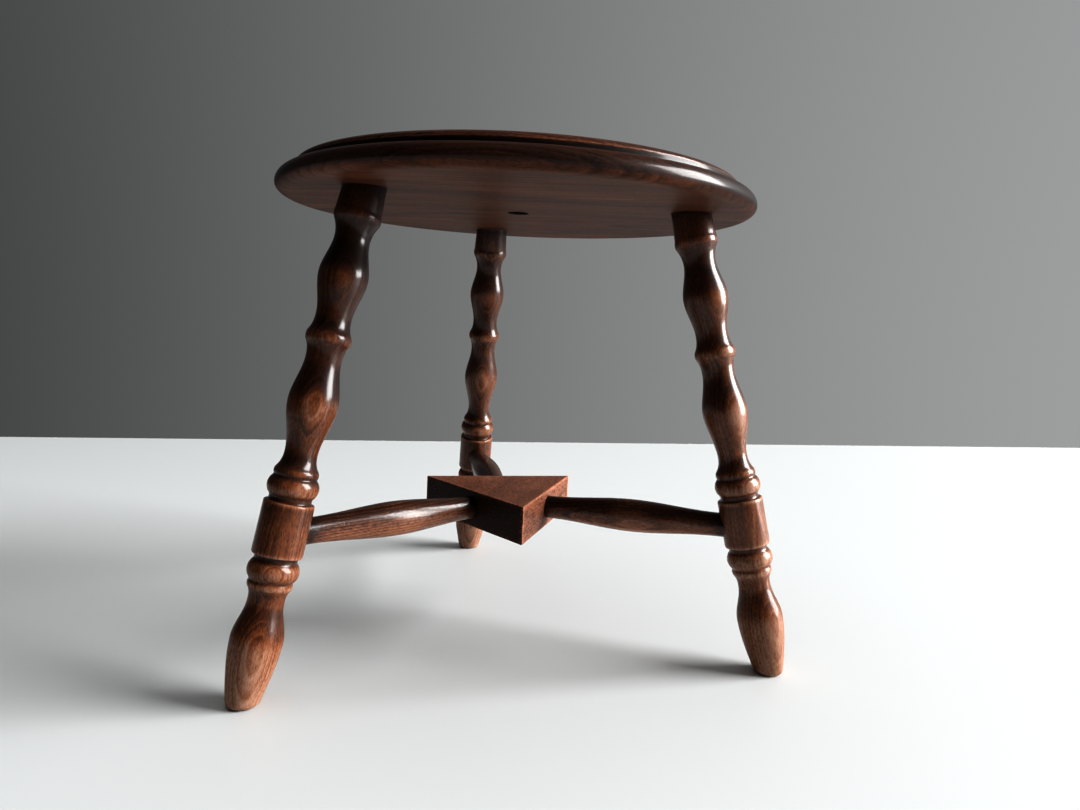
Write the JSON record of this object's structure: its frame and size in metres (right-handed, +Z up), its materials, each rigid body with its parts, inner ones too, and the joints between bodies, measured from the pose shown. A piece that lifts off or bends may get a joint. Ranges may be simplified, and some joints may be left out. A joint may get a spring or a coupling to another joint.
{
  "type": "stool",
  "caption": "Low round stool with a moulded seat on splayed turned legs, tied by swelling rungs that meet in a triangular hub block.",
  "frame": {"origin": "on the floor under the seat's centre", "axes": "+Z up, +Y towards the back leg, +X to the right seen from the front"},
  "size_m": [0.3926, 0.4049, 0.361],
  "materials": {
    "seat_wood": "dark stained beech, gloss lacquer",
    "leg_wood": "dark stained beech, gloss lacquer",
    "rung_wood": "dark stained beech, gloss lacquer",
    "hub_wood": "dark stained beech, satin lacquer"
  },
  "bodies": {
    "root": {"seat_board_front": "seat_wood", "seat_board_middle": "seat_wood", "seat_board_back": "seat_wood", "leg_back": "leg_wood", "leg_left": "leg_wood", "leg_right": "leg_wood", "rung_back": "rung_wood", "rung_left": "rung_wood", "rung_right": "rung_wood", "hub_block": "hub_wood"}
  },
  "joints": []
}
